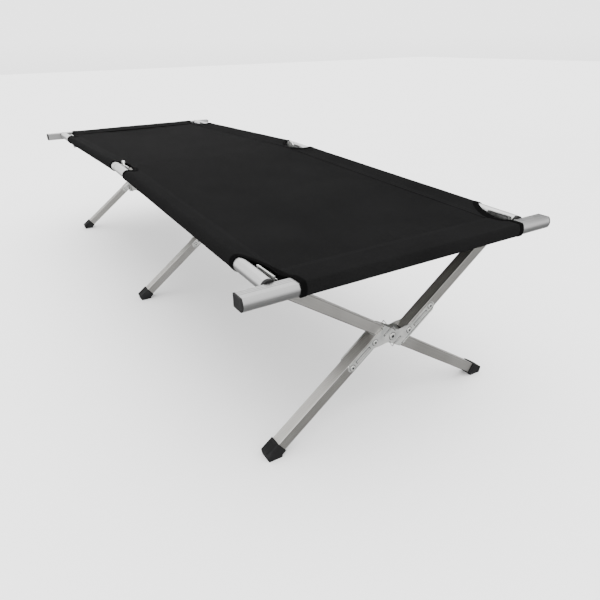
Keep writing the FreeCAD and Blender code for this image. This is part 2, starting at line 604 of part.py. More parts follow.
def end_sleeve(half):
    """A closed sleeve round the end bar, and a flap that slopes down from its top to the panel."""
    h = HALVES[half]
    run = V(END_SLEEVE_LEFT + END_SLEEVE_RIGHT, 0, 0)
    outer = Part.Face(bar_section(half, -END_SLEEVE_LEFT, -COVER_CLEAR - COVER_THICK).OuterWire).extrude(run)
    tube = outer.cut(bar_section(half, -END_SLEEVE_LEFT, -COVER_CLEAR).extrude(run))
    bar_top = RAIL_END_Z - BAR_DROP + BAR_HEIGHT / 2 + COVER_CLEAR
    sewn = rail_z(FLAP_Y) + PANEL_RISE + COVER_THICK + COVER_CLEAR
    points = [(BAR_BACK_Y + FLAP_INSET, bar_top), (FLAP_Y, sewn), (FLAP_Y, sewn + COVER_THICK),
              (BAR_BACK_Y + FLAP_INSET, bar_top + COVER_THICK)]
    reach = CORNER_X - FLAP_INSET
    corners = [V(-reach, h * y, z) for y, z in points]
    flap = Part.Face(Part.makePolygon(corners + corners[:1])).extrude(V(2 * reach, 0, 0))
    return [tube, flap.cut(outer)]


# ---- build every node ----
os.makedirs("parts", exist_ok=True)

fasteners = {(side, half): [] for side in SIDES for half in HALVES}
for side in SIDES:
    for place, set_y in LEG_SET_Y.items():
        plate, rivets, stud = mount_plate(side, place)
        export(f"mount_plate_{side}_{place}", plate)
        fasteners[side, rail_half_of(set_y)] += rivets + [stud]
        export(f"swivel_{side}_{place}", *swivel(side, place))
    for half in HALVES:
        leaf, rivets = hinge_leaf(side, half)
        export(f"hinge_leaf_{side}_{half}", leaf)
        fasteners[side, half] += rivets
        export(f"end_plug_{side}_{half}", *end_plug(side, half))
    export(f"hinge_pin_{side}", hinge_pin(side))

for (side, half), pieces in fasteners.items():
    export(f"rail_{side}_{half}", rail(side, half, pieces))
    export(f"rail_rivets_{side}_{half}", *pieces)

for place in LEG_SET_Y:
    export(f"straight_bar_{place}", straight_bar(place))
    export(f"split_bar_upper_{place}", upper_half(place))
    export(f"split_bar_lower_{place}", lower_half(place))
    plates = [place_in_set(z_plate(front), -SPLIT_ANGLE, place) for front in (True, False)]
    export(f"z_plates_{place}", *plates)
    export(f"leg_rivets_{place}", *leg_rivets(place))
    export(f"boot_left_{place}", boot(place, SPLIT_ANGLE, SPLIT_OFFSET, -1))
    export(f"boot_right_{place}", boot(place, STRAIGHT_ANGLE, 0, 1))

for half in HALVES:
    export(f"end_bar_{half}", end_bar(half))
    export(f"end_caps_{half}", *end_caps(half))
    export(f"cover_{half}", *cover_half(half))
    export(f"end_sleeve_{half}", *end_sleeve(half))
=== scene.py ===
import bpy
import math
from mathutils import Matrix, Vector, noise


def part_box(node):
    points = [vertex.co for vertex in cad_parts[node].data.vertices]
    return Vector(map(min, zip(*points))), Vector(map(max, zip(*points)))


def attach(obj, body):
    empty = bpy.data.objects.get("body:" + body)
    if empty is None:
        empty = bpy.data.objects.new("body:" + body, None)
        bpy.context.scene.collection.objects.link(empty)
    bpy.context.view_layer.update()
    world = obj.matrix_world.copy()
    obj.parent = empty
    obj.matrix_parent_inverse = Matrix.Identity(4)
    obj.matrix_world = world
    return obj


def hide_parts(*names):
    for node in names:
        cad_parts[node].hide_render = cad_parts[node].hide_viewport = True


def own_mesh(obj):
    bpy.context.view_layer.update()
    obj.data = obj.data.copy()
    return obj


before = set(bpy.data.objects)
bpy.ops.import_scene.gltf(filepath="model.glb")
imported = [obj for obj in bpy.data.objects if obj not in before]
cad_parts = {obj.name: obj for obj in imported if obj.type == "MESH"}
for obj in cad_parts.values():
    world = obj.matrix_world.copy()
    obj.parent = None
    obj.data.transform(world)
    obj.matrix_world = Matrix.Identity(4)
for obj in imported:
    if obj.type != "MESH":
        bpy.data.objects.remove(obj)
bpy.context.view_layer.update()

bpy.ops.object.select_all(action="DESELECT")


# ---- Place and light ----
# The cot stands on a plain pale floor under one wide soft lamp, with a weak lamp from the near side and
# a grey card at the right that only the metal sees. The camera stands low, off the near left corner.
camera_data = bpy.data.cameras.new("camera")
camera_data.lens = 32.14
camera_data.shift_x = 0.0061
camera_data.shift_y = -0.0218
camera_data.clip_end = 60.0
camera = bpy.data.objects.new("camera", camera_data)
bpy.context.scene.collection.objects.link(camera)
camera_place = (-0.6574, -1.6074, 0.7425)
turn_right = math.radians(30.68)
look_down = math.radians(24.95)
lean = math.radians(-1.04)
camera.matrix_world = (Matrix.Translation(camera_place) @ Matrix.Rotation(-turn_right, 4, "Z")
                       @ Matrix.Rotation(math.pi / 2 - look_down, 4, "X") @ Matrix.Rotation(lean, 4, "Z"))
bpy.context.scene.camera = camera

bpy.ops.mesh.primitive_plane_add(size=30.0, location=(0, 0, 0))
floor = bpy.context.object
floor.name = "floor"
floor.visible_glossy = False

bpy.ops.mesh.primitive_plane_add(size=1.0, location=(3.15, -0.4, 1.15), rotation=(0, math.pi / 2, 0))
grey_card = bpy.context.object
grey_card.name = "grey_card"
grey_card.scale = (2.3, 4.4, 1.0)
bpy.ops.object.transform_apply(location=True, rotation=True, scale=True)
grey_card.visible_camera = False
grey_card.visible_diffuse = False
grey_card.visible_shadow = False

near_lamp_data = bpy.data.lights.new("near_lamp", "AREA")
near_lamp_data.shape = "SQUARE"
near_lamp_data.size = 2.2
near_lamp_data.energy = 14.0
near_lamp = bpy.data.objects.new("near_lamp", near_lamp_data)
bpy.context.scene.collection.objects.link(near_lamp)
near_lamp_place = Vector((-2.6, -3.2, 1.6))
near_lamp_aim = Vector((0, -0.3, 0.2)) - near_lamp_place
near_lamp.matrix_world = (Matrix.Translation(near_lamp_place)
                          @ near_lamp_aim.to_track_quat("-Z", "Y").to_matrix().to_4x4())

sky_lamp_data = bpy.data.lights.new("sky_lamp", "SUN")
sky_lamp_data.energy = 2.2
sky_lamp_data.angle = math.radians(75)
sky_lamp = bpy.data.objects.new("sky_lamp", sky_lamp_data)
bpy.context.scene.collection.objects.link(sky_lamp)
sky_lamp.matrix_world = Matrix.Rotation(math.radians(14), 4, "Y") @ Matrix.Rotation(math.radians(-10), 4, "X")


class Wire:
    """A node's output. Sums of wires add Math nodes, and node() adds any other node to the same tree."""

    def __init__(self, socket):
        self.socket = socket

    def node(self, kind, settings=None, sockets=None, output=0):
        tree = self.socket.id_data
        made = tree.nodes.new(kind)
        for key, value in (settings or {}).items():
            setattr(made, key, value)
        for key, value in (sockets or {}).items():
            if isinstance(value, Wire):
                tree.links.new(value.socket, made.inputs[key])
            else:
                made.inputs[key].default_value = value
        return Wire(made.outputs[output])

    def maths(self, operation, other=0.0):
        return self.node("ShaderNodeMath", {"operation": operation}, {0: self, 1: other})

    def __add__(self, other):
        return self.maths("ADD", other)

    __radd__ = __add__

    def __sub__(self, other):
        return self.maths("SUBTRACT", other)

    def __rsub__(self, other):
        return self.node("ShaderNodeMath", {"operation": "SUBTRACT"}, {0: other, 1: self})

    def __mul__(self, other):
        return self.maths("MULTIPLY", other)

    __rmul__ = __mul__

    def __lt__(self, other):
        return self.maths("LESS_THAN", other)

    def __gt__(self, other):
        return self.maths("GREATER_THAN", other)

    def __abs__(self):
        return self.maths("ABSOLUTE")


def feed(shader, socket, wire):
    """Links a wire to a socket of the shader, or of the background."""
    shader.socket.id_data.links.new(wire.socket, shader.socket.node.inputs[socket])


def split(where):
    """The three coordinates of a place."""
    parts = where.node("ShaderNodeSeparateXYZ", {}, {"Vector": where}).socket.node.outputs
    return [Wire(part) for part in parts]


def spread(wire, low, high, to_low=0.0, to_high=1.0):
    """The wire's values from low to high, spread over other values."""
    return wire.node("ShaderNodeMapRange", {}, {"Value": wire, "From Min": low, "From Max": high,
                                                "To Min": to_low, "To Max": to_high})


# the sky is even, and darker below the horizon, which gives the metal its dark undersides
world = bpy.data.worlds.new("studio")
world.use_nodes = True
sky = Wire(world.node_tree.nodes["Background"].outputs[0])
sky.socket.node.inputs["Color"].default_value = (1.0, 1.0, 1.0, 1.0)
sky_height = split(sky.node("ShaderNodeTexCoord"))[2]
feed(sky, "Strength", spread(sky_height, -0.35, 0.0, 0.5, 2.9))
bpy.context.scene.world = world


def new_finish(name, metallic, **fixed):
    """A material, and a wire on its shader that its nodes start from. Fixed values go on its sockets."""
    material = bpy.data.materials.new(name)
    material.use_nodes = True
    shader = material.node_tree.nodes["Principled BSDF"]
    shader.inputs["Metallic"].default_value = metallic
    for socket, value in fixed.items():
        shader.inputs[socket.replace("_", " ")].default_value = value
    return material, Wire(shader.outputs[0])


def place_on(shader, scale=(1, 1, 1), turn=(0, 0, 0)):
    """The place on the piece, turned and then scaled."""
    where = shader.node("ShaderNodeTexCoord", output="Object")
    turned = where.node("ShaderNodeMapping", {}, {"Vector": where, "Rotation": turn})
    return turned.node("ShaderNodeMapping", {}, {"Vector": turned, "Scale": scale})


def cloud(where, scale, detail=4.0):
    """Soft noise."""
    return where.node("ShaderNodeTexNoise", {}, {"Vector": where, "Scale": scale, "Detail": detail})


def mix(factor, first, second):
    """A colour between two others."""
    return factor.node("ShaderNodeMix", {"data_type": "RGBA"}, {0: factor, 6: first, 7: second}, output=2)


def raise_grain(shader, height, distance, strength):
    grain = height.node("ShaderNodeBump", {}, {"Height": height, "Distance": distance, "Strength": strength})
    feed(shader, "Normal", grain)


def mottled(name, roughness, patch_size, dark, light):
    """A matt grey that varies a little over large patches."""
    material, shader = new_finish(name, 0.0, Roughness=roughness)
    patches = cloud(place_on(shader), patch_size)
    feed(shader, "Base Color", mix(patches, (dark, dark, dark, 1), (light, light, light, 1)))
    return material


floor.data.materials.append(mottled("pale_floor", 0.85, 3.0, 0.9, 0.93))
grey_card.data.materials.append(mottled("card_grey", 0.9, 2.0, 0.08, 0.1))


# ---- Side rails ----
# Round drawn aluminium tube, satin anodised, cut in half at the middle hinge. Drawing leaves fine
# lines along the tube, and handling leaves a few dull patches. The cut between two halves is painted dark, as
# painted shade.
halves = ("front", "rear")
sides = ("left", "right")
across_lines, along_lines = 900.0, 6.0      # scale of the drawing lines, across them and along them
line_depth = 0.00006


def dress(material, *names):
    """Gives a finish to CAD nodes."""
    for name in names:
        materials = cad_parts[name].data.materials
        materials.clear()
        materials.append(material)


def satin_aluminium(name, along, grey, painted_shade=None):
    """Metal drawn along one axis, optionally with painted shade, given as a wire that shows where it sits."""
    material, shader = new_finish(name, 1.0)
    stretch = [across_lines, across_lines, across_lines]
    stretch[along] = along_lines
    lines = cloud(place_on(shader, tuple(stretch)), 1.0, 3.0)
    smudges = cloud(place_on(shader), 14.0, 5.0)
    colour = mix(spread(lines + smudges * 0.6, 0.5, 1.1), (grey * 0.86, grey * 0.86, grey * 0.87, 1),
                 (grey, grey, grey * 0.985, 1))
    # painted shade: where the mask is set, the metal is darkened towards near black
    if painted_shade:
        colour = mix(painted_shade(shader), colour, (0.06, 0.06, 0.062, 1))
    feed(shader, "Base Color", colour)
    feed(shader, "Roughness", spread(lines * 0.5 + smudges, 0.4, 1.1, 0.26, 0.44))
    raise_grain(shader, lines, line_depth, 0.6)
    return material


# painted shade: a dark band in the cut between the two rail halves, at the hinge line
def painted_shade_in_cut(shader):
    cut_reach = 0.0016
    return (abs(split(shader.node("ShaderNodeTexCoord", output="Object"))[1]) < cut_reach) * 0.85


rail_metal = satin_aluminium("rail_aluminium", 1, 0.42, painted_shade_in_cut)
dress(rail_metal, *[f"rail_{side}_{half}" for side in sides for half in halves])


# ---- End bars and their caps ----
# D-shaped aluminium extrusions, drawn along X and anodised, which hang on the pins in the rails' ends.
# A moulded black plastic cap is pressed into each end of a bar.
dress(satin_aluminium("end_bar_aluminium", 0, 0.34), "end_bar_front", "end_bar_rear")


def moulded_black(name, grain, dark, rough_low, rough_high):
    material, shader = new_finish(name, 0.0, Specular_IOR_Level=0.06)
    texture = cloud(place_on(shader), grain, 3.0)
    scuffs = cloud(place_on(shader), 30.0, 5.0)
    feed(shader, "Base Color", mix(spread(scuffs, 0.45, 0.75), (dark, dark, dark * 1.03, 1),
                                   (dark * 2.0, dark * 2.0, dark * 2.0, 1)))
    feed(shader, "Roughness", spread(texture * 0.5 + scuffs * 0.5, 0.3, 0.7, rough_low, rough_high))
    raise_grain(shader, texture, 0.00012, 0.7)
    return material


cap_plastic = moulded_black("cap_plastic", 900.0, 0.009, 0.5, 0.65)
dress(cap_plastic, "end_caps_front", "end_caps_rear")


# ---- End plugs and pins ----
# A moulded black plastic plug is pressed into each rail's end. The steel pin that the end bar hangs on
# is pressed into the plug. It shares the plug's CAD node, and so its finish.
dress(cap_plastic, *[f"end_plug_{side}_{half}" for side in sides for half in halves])


# ---- Mount plates, swivels, hinges and rivets ----
# Pressed steel, zinc plated: pale, slightly mottled, duller where it is handled. Each mount plate has a
# pressed pill shape, with painted shade inside it and at its edge. Rivets and hinge pins are darker steel.
places = ("front", "middle", "rear")


def plated_steel(name, grey, grain, painted_shade=None, shade_grey=0.05):
    """Zinc-plated steel, optionally with painted shade, given as a wire that shows where it sits, and its
    grey.
    """
    material, shader = new_finish(name, 1.0)
    spangle = shader.node("ShaderNodeTexVoronoi", {}, {"Vector": place_on(shader), "Scale": grain},
                          output="Distance")
    haze = cloud(place_on(shader), 40.0, 5.0)
    colour = mix(spread(spangle * 0.4 + haze, 0.35, 0.95), (grey * 0.8, grey * 0.82, grey * 0.8, 1),
                 (grey, grey, grey * 0.97, 1))
    # painted shade: where the mask is set, the steel is darkened towards the given grey
    if painted_shade:
        colour = mix(painted_shade(shader), colour, (shade_grey, shade_grey, shade_grey * 1.1, 1))
    feed(shader, "Base Color", colour)
    feed(shader, "Roughness", spread(haze + spangle * 0.3, 0.3, 0.9, 0.3, 0.5))
    raise_grain(shader, haze, 0.0001, 0.4)
    return material


def pill_painted_shade(place):
    """Painted shade in and round the pressed pill of the mount plates at this place."""
    low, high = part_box(f"mount_plate_left_{place}")
    below_top, from_ends = 0.0065, 0.011
    pill_y, pill_z = (low.y + high.y) / 2, high.z - below_top
    pill_half = (high.y - low.y) / 2 - from_ends
    pill_r, edge_r = 0.0035, 0.0052

    def painted_shade(shader):
        _, along, up = split(shader.node("ShaderNodeTexCoord", output="Object"))
        past = (abs(along - pill_y) - pill_half).maths("MAXIMUM")
        away = (past * past + (up - pill_z) * (up - pill_z)).maths("SQRT")
        # painted shade: a lighter share inside the pill, a stronger dark ring at its edge
        return (away < pill_r) * 0.35 + (away > pill_r) * (away < edge_r) * 0.85

    return painted_shade


plate_steel = plated_steel("zinc_plate", 0.6, 160.0)
dark_steel = plated_steel("zinc_rivet", 0.2, 260.0)
for place in places:
    pressed = plated_steel(f"mount_plate_steel_{place}", 0.42, 160.0, pill_painted_shade(place))
    dress(pressed, f"mount_plate_left_{place}", f"mount_plate_right_{place}")
dress(plate_steel, *[f"swivel_{side}_{place}" for side in sides for place in places])
dress(plate_steel, *[f"hinge_leaf_{side}_{half}" for side in sides for half in halves])
dress(dark_steel, *[f"rail_rivets_{side}_{half}" for side in sides for half in halves])
dress(dark_steel, "hinge_pin_left", "hinge_pin_right")


# ---- Leg bars ----
# Square aluminium extrusions with fine ribs along all four faces, so the drawing lines follow the slope.
# The grooves between the ribs are painted darker, as painted shade.
straight_slope = math.radians(33.5)
split_slope = math.radians(37.2)
split_axis = 0.026          # from the crossing pivot to the axis of each half of the split bar
pivot_x, pivot_z = -0.009, 0.189
set_middle = -0.041         # the middle leg set, and the distance from one set to the next
set_spacing = 0.839
groove_pitch = 0.003
end_faces = 0.0118          # beyond this, from the set's middle, lie a bar's front and back faces


def along_bar(shader, slope):
    """Distances along the bar, along the cot and across the bar, from the sets' crossing pivots."""
    where = shader.node("ShaderNodeTexCoord", output="Object")
    moved = where.node("ShaderNodeVectorMath", {"operation": "ADD"}, {0: where, 1: (-pivot_x, 0.0, -pivot_z)})
    return split(moved.node("ShaderNodeMapping", {}, {"Vector": moved, "Rotation": (0, slope, 0)}))


def ribbed_aluminium(name, slope, axis):
    material, shader = new_finish(name, 1.0)
    _, depth, width = along_bar(shader, slope)
    wave = 2 * math.pi / groove_pitch
    first_groove = groove_pitch / 4
    on_front = ((abs(width) - (axis + first_groove)) * wave).maths("SINE")
    from_middle = (depth - set_middle).maths("PINGPONG", set_spacing / 2)
    on_side = ((from_middle - first_groove) * wave).maths("SINE")
    front = from_middle > end_faces
    grooves = spread(on_front * front + on_side * (1.0 - front), -0.2, 0.8)
    lines = cloud(place_on(shader, (along_lines, across_lines, across_lines), (0, slope, 0)), 1.0, 3.0)
    smudges = cloud(place_on(shader, (1, 1, 1), (0, slope, 0)), 14.0, 5.0)
    tone = spread(lines + smudges * 0.6, 0.5, 1.1)
    metal = mix(tone, (0.36, 0.352, 0.335, 1), (0.47, 0.46, 0.44, 1))
    # painted shade: the grooves between the ribs are darkened
    feed(shader, "Base Color", mix(grooves * 0.75, metal, (0.13, 0.126, 0.12, 1)))
    feed(shader, "Roughness", spread(lines * 0.5 + smudges, 0.4, 1.1, 0.32, 0.5))
    raise_grain(shader, lines, line_depth, 0.6)
    return material


straight_metal = ribbed_aluminium("straight_bar_aluminium", -straight_slope, 0.0)
split_metal = ribbed_aluminium("split_bar_aluminium", split_slope, split_axis)
dress(straight_metal, *[f"straight_bar_{place}" for place in places])
dress(split_metal, *[f"split_bar_{part}_{place}" for part in ("upper", "lower") for place in places])


# ---- Z plates and leg rivets ----
# Two pressed plates hold the halves of each split bar apart, so the straight bar folds between them.
# Both are the same after half a turn, so a rib or rivet is given once, along and across the split bar.
plate_ribs = ((0.052, 0.090, -0.030, -0.026), (0.0, 0.012, -0.020, -0.0186), (0.0, 0.014, 0.0186, 0.020),
              (0.0126, 0.014, 0.006, 0.020), (0.008, 0.105, -0.0375, -0.0361))
plate_rivets = ((0.0, 0.0, 0.0075), (0.036, -split_axis, 0.006), (0.104, -split_axis, 0.006))
rib_shade = (0.0001, 0.0017)    # painted shade lies this far out from a rib's edge
head_shade = 0.0013         # and this far out from a rivet's head
hollow_share = 0.42         # a head's hollow, as a share of the head


def pressed_painted_shade(shader):
    """Painted shade beside the ribs, round the rivets' heads and in their hollows."""
    along, _, across = along_bar(shader, split_slope)
    turned = across * along.maths("SIGN")
    out = abs(along)
    marks = 0.0
    for start, stop, low, high in plate_ribs:
        past_ends = abs(out - (start + stop) / 2) - (stop - start) / 2
        past_sides = abs(turned - (low + high) / 2) - (high - low) / 2
        beside = past_ends.maths("MAXIMUM", past_sides)
        marks = marks + (beside > rib_shade[0]) * (beside < rib_shade[1])
    for rivet_along, rivet_across, head in plate_rivets:
        from_along, from_across = out - rivet_along, turned - rivet_across
        away = (from_along * from_along + from_across * from_across).maths("SQRT")
        marks = marks + (away > head) * (away < head + head_shade) + (away < head * hollow_share)
    return marks.maths("MINIMUM", 1.0) * 0.92


# the Z plates and leg rivets get painted shade beside the ribs, round the rivets' heads and in their hollows
z_steel = plated_steel("pressed_z_plate", 0.74, 160.0, pressed_painted_shade, 0.03)
dress(z_steel, *[f"z_plates_{place}" for place in places])
dress(z_steel, *[f"leg_rivets_{place}" for place in places])


# ---- Foot boots ----
# Moulded black rubber, rougher than the caps' plastic. A boot is pushed over the lower end of each leg,
# and has a flat sole and grip grooves.
boot_rubber = moulded_black("boot_rubber", 1400.0, 0.009, 0.6, 0.8)
dress(boot_rubber, *[f"boot_{side}_{place}" for side in sides for place in places])


# ---- Cover: cloth and cut ----
# One sewn cover of coated black oxford cloth. Its cut follows the rails: straight along the sides, a
# round notch at each side of the middle hinge, and a cut-away corner at each leg top.
yarn_pitch = 0.0011
stitch_pitch = 0.0042
stitch_rows = (0.003, 0.010)    # from the edge of a lap
thread_half = 0.0006


def oxford_cloth(name, stitched, shade=1.0):
    material, shader = new_finish(name, 0.0, Specular_IOR_Level=0.002)
    across, along, _ = split(shader.node("ShaderNodeUVMap"))
    yarn = 2 * math.pi / yarn_pitch
    weave = (across * yarn).maths("SINE") * (along * yarn).maths("SINE")
    slubs = cloud(place_on(shader), 420.0, 3.0)
    patches = cloud(place_on(shader), 7.0)
    tone = spread(slubs * 0.7 + patches * 0.5 + weave * 0.15, 0.35, 0.95)
    dark, light = 0.0046 * shade, 0.0092 * shade
    colour = mix(tone, (dark, dark, dark * 1.02, 1), (light, light, light * 1.01, 1))
    height = weave * 0.5 + slubs
    if stitched:
        rows = sum(abs(across - row) < thread_half for row in stitch_rows)
        thread = rows * ((along * (2 * math.pi / stitch_pitch)).maths("SINE") > -0.35)
        colour = mix(thread, colour, (0.013, 0.013, 0.0135, 1))
        height = height + thread * 2.0 - rows * 0.6
    feed(shader, "Base Color", colour)
    feed(shader, "Roughness", spread(slubs + patches * 0.4, 0.4, 1.0, 0.62, 0.82))
    raise_grain(shader, height, 0.00018, 0.8)
    return material


panel_cloth = oxford_cloth("cover_cloth", False)
sleeve_cloth = oxford_cloth("sleeve_cloth", True)

low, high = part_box("rail_right_front")
rail_x = (low.x + high.x) / 2
rail_r = (high.x - low.x) / 2
rail_mid_z = high.z - rail_r
rail_end_y = -low.y
rail_end_z = low.z + rail_r
rail_fall = (rail_mid_z - rail_end_z) / rail_end_y

cloth_thick = 0.0008
cloth_off = 0.0009          # middle of a sleeve's cloth above what it lies on
ring_r = rail_r + cloth_off
seam_gap = 0.0003           # from the hinge line to each half of the cover
panel_rise = 0.002          # the panel above the rails' axis, which the stretched cloth pulls towards
lap = 0.044                 # the side laps reach this far in from the rail's axis
panel_edge = 0.030          # and the panel's edges lie between them, this far in
panel_end_y = 0.905
corner_in = 0.031           # how far in the cover's cut runs at the corners
corner_bend = 0.8
corner_run = {"front": 0.077, "rear": 0.055}
sleeve_end_y = {"front": 0.808, "rear": 0.745}
notch_y = -0.031
notch_in = 0.033
notch_half = 0.068
sag = 0.006
smooth_angle = math.radians(50)
arch_rounding = 0.035       # how softly the cloth bends over the middle, between the rails


def rail_height(y):
    """Height of the rail axis."""
    return rail_mid_z - rail_fall * abs(y)


def cover_height(x, y):
    """Middle of the panel's cloth: taut along the rails' arch, rounded at the middle, sagging a little."""
    inside = max(0.0, 1.0 - (abs(x) / (rail_x - panel_edge)) ** 6)
    rounding = arch_rounding * inside
    arch = rail_mid_z - rail_fall * (math.sqrt(y * y + rounding * rounding) if rounding else abs(y))
    droop = sag * math.cos(min(1.0, abs(x) / (rail_x - lap)) * math.pi / 2) ** 2
    droop *= 1.0 - (abs(y) / panel_end_y) ** 6
    pull = 0.0013 * noise.noise((x * 9.0, y * 5.0, 0.3)) + 0.0006 * noise.noise((x * 26.0, y * 11.0, 2.7))
    near_end = max(0.0, abs(y) / panel_end_y - 0.8) * 5.0
    gather = 0.0009 * near_end * math.sin(abs(x) * 95.0 + noise.noise((x * 6.0, y * 6.0, 1.0)) * 5.0)
    return arch + panel_rise - droop + (pull + gather) * inside


def corner_reach(inwards, half):
    """How far along the cot the cover reaches on a line this far in from the rail's axis."""
    if inwards >= corner_in:
        return panel_end_y
    t = math.asin(min(1.0, max(0.0, inwards / corner_in) ** (1 / corner_bend))) * 2 / math.pi
    return sleeve_end_y[half] + corner_run[half] * t


def notch_reach(inwards):
    """Half length of the middle notch on the same line; nothing beyond its depth."""
    return notch_half * math.sqrt(max(0.0, 1.0 - (max(0.0, inwards) / notch_in) ** 2))


def lap_ends(inwards, half):
    """Where a line along a side lap starts, at the notch or the hinge line, and stops, at the corner."""
    h = -1 if half == "front" else 1
    reach = notch_reach(inwards)
    start = h * max(seam_gap, h * notch_y + reach) if reach else h * seam_gap
    return start, h * corner_reach(inwards, half)


def cloth_grid(name, columns, rows, place):
    """A grid of cloth. place(i, j) gives a corner's point and its place on the flat cloth."""
    bpy.ops.mesh.primitive_grid_add(x_subdivisions=columns - 1, y_subdivisions=rows - 1, size=1.0)
    made = bpy.context.object
    made.name = name
    mesh = made.data
    flat = []
    for vertex in mesh.vertices:
        i = round((vertex.co.x + 0.5) * (columns - 1))
        j = round((vertex.co.y + 0.5) * (rows - 1))
        vertex.co, where = place(i, j)
        flat.append(where)
    layer = mesh.uv_layers[0]
    for loop in mesh.loops:
        layer.data[loop.index].uv = flat[loop.vertex_index]
    return made


def finish_cloth(made, material, thickness, up):
    """Turns the cloth's face outwards, gives it its thickness and its finish."""
    bpy.ops.object.mode_set(mode="EDIT")
    bpy.ops.mesh.select_all(action="SELECT")
    if sum(f.normal.dot(up(f.center)) * f.area for f in made.data.polygons) < 0:
        bpy.ops.mesh.flip_normals()
    bpy.ops.object.mode_set(mode="OBJECT")
    solid = made.modifiers.new("thickness", "SOLIDIFY")
    solid.thickness = thickness
    solid.offset = 0.0
    bpy.ops.object.modifier_apply(modifier="thickness")
    bpy.ops.object.shade_smooth_by_angle(angle=smooth_angle)
    made.data.materials.clear()
    made.data.materials.append(material)
    made.select_set(False)


def flat_cut(made):
    """Width, length and area of the piece's cloth when it is laid flat."""
    spots = [Vector(corner.uv) for corner in made.data.uv_layers[0].data]
    area = 0.0
    for face in made.data.polygons:
        corners = [spots[k] for k in face.loop_indices]
        area += abs(sum(a.cross(b) for a, b in zip(corners, corners[1:] + corners[:1]))) / 2
    width = max(spot.x for spot in spots) - min(spot.x for spot in spots)
    length = max(spot.y for spot in spots) - min(spot.y for spot in spots)
    return width, length, area


# ---- Cover: panels ----
# The middle of the cover, in two halves that meet at the hinge line. Each half's sides lie between the
# side sleeves' two laps, and its end lies under the end sleeve's flap.
edge_columns = [0.0, 0.006, 0.012, 0.02, 0.03, 0.042]
row_crowding = 1.15         # rows lie closer together near the hinge line
edge_step = 0.0005          # the panel stops this short of the sleeves' cut edges


def panel_width(y, half):
    """Half width of the panel, less the notch and the corner."""
    inwards = panel_edge
    along = (abs(y) - sleeve_end_y[half]) / corner_run[half]
    if along > 0:
        inwards = max(inwards, corner_in * math.sin(min(1.0, along) * math.pi / 2) ** corner_bend + edge_step)
    if abs(y - notch_y) < notch_half:
        inwards = max(inwards, notch_in * math.sqrt(1.0 - ((y - notch_y) / notch_half) ** 2) + edge_step)
    return rail_x - inwards


def panel_column(i, columns, width):
    """Columns keep their distance from the edge near it, and share the rest evenly."""
    from_side = min(i, columns - 1 - i)
    if from_side < len(edge_columns):
        return (-1 if i < columns / 2 else 1) * (width - edge_columns[from_side])
    inner = width - edge_columns[-1]
    steps = columns + 1 - 2 * len(edge_columns)
    return -inner + 2 * inner * (i - len(edge_columns) + 1) / steps


def panel(half):
    h = -1 if half == "front" else 1
    columns, rows = 75, 135

    def place(i, j):
        y = h * (seam_gap + (panel_end_y - seam_gap) * (j / (rows - 1)) ** row_crowding)
        x = panel_column(i, columns, panel_width(y, half))
        return (x, y, cover_height(x, y)), (x, y)

    made = cloth_grid(f"cover_panel_{half}", columns, rows, place)
    cut = flat_cut(made)
    finish_cloth(made, panel_cloth, cloth_thick, lambda c: Vector((0, 0, 1)))
    return made, cut


for half in halves:
    made, (width, length, area) = panel(half)
    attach(made, f"rail_left_{half}")
    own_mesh(made)
    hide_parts(f"cover_{half}")


# ---- Cover: side sleeves ----
# The cover's sides are turned round the rails and sewn down, so each rail half runs in a closed sleeve.
# The pull of the panel makes its section a teardrop. Two rows of stitches hold the laps together.
def between(first, second, shares):
    """Points on the line from one point to another, at these shares of it."""
    return [(first[0] + (second[0] - first[0]) * t, first[1] + (second[1] - first[1]) * t) for t in shares]


def runs_to(points):
    """The length along a line of points, up to each of them."""
    runs = [0.0]
    for (a, b), (c, d) in zip(points, points[1:]):
        runs.append(runs[-1] + math.hypot(c - a, d - b))
    return runs


def sleeve_section():
    """The section from the upper lap's edge, round the rail, to the lower lap's edge: (inwards, up)."""
    upper, lower = (lap, panel_rise + cloth_off), (lap, panel_rise - cloth_off)

    def touch(point, above):
        """Turn from straight up, inwards, at which the lap meets the rail's sleeve."""
        bearing = math.atan2(point[0], point[1])
        opening = math.acos(ring_r / math.hypot(*point))
        return bearing - opening if above else bearing + opening

    start, stop = touch(upper, True), touch(lower, False) - 2 * math.pi
    ring_steps = 26
    turns = [start + (stop - start) * step / ring_steps for step in range(ring_steps + 1)]
    ring = [(ring_r * math.sin(turn), ring_r * math.cos(turn)) for turn in turns]
    shares = (0.0, 0.07, 0.14, 0.22, 0.3, 0.4, 0.52, 0.68, 0.84)
    return between(upper, ring[0], shares) + ring + between(lower, ring[-1], reversed(shares))


section = sleeve_section()
section_run = runs_to(section)


def on_sleeve(run, y, s):
    """The point at this length round the sleeve's section, and this place along the rail."""
    k = min(len(section) - 2, max(0, sum(1 for value in section_run if value <= run) - 1))
    t = (run - section_run[k]) / (section_run[k + 1] - section_run[k])
    inwards = section[k][0] + (section[k + 1][0] - section[k][0]) * t
    up = section[k][1] + (section[k + 1][1] - section[k][1]) * t
    ripple = 0.0005 * noise.noise((run * 26.0, y * 12.0, s * 3.0))
    return Vector((s * (rail_x - inwards), y, rail_height(y) + up + ripple)), inwards


def away_from_rail(s):
    """A direction that points out of a sleeve at any of its faces."""
    def outwards(c):
        up = c.z - rail_height(c.y)
        across = c.x - s * rail_x
        inner = -across * s > ring_r
        return Vector((0, 0, up - panel_rise)) if inner else Vector((across, 0, up))
    return outwards


